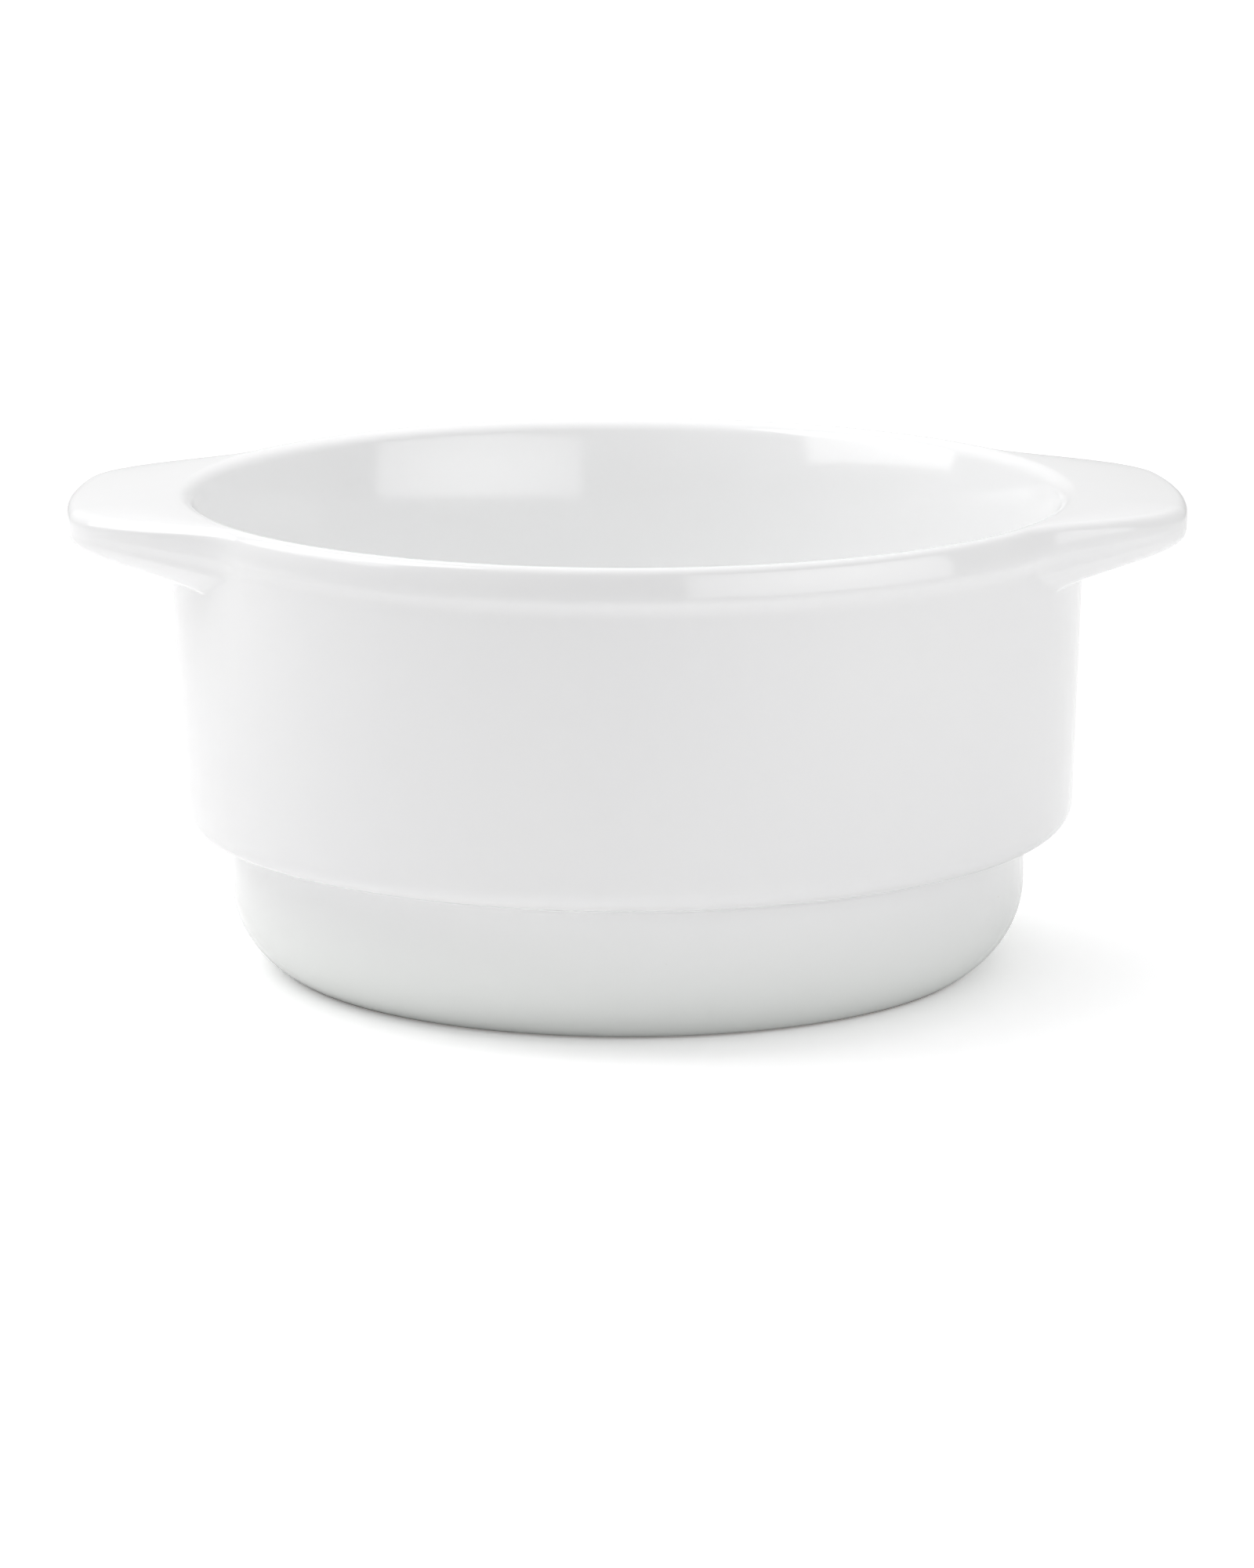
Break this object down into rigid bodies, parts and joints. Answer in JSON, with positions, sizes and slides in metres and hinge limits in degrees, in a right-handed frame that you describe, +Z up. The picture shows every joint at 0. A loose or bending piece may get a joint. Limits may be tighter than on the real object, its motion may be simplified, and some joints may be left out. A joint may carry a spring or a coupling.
{
  "type": "soup bowl",
  "caption": "Lugged stacking soup bowl: round tapered wall with a rolled lip, solid lug handles flush with the rim, a stacking ledge and a narrower foot.",
  "frame": {"origin": "on the table, on the axis of the bowl", "axes": "+Z up along the bowl's axis, +X along the line through the two lugs, +Y to the back of the pictured view"},
  "size_m": [0.137, 0.1138, 0.0586],
  "materials": {
    "glaze": "clear gloss glaze over white vitrified china",
    "bare_clay": "bare fired clay, ground flat"
  },
  "bodies": {
    "root": {"bowl_body": "glaze", "left_lug": "glaze", "right_lug": "glaze", "foot_ring": "bare_clay"}
  },
  "joints": []
}
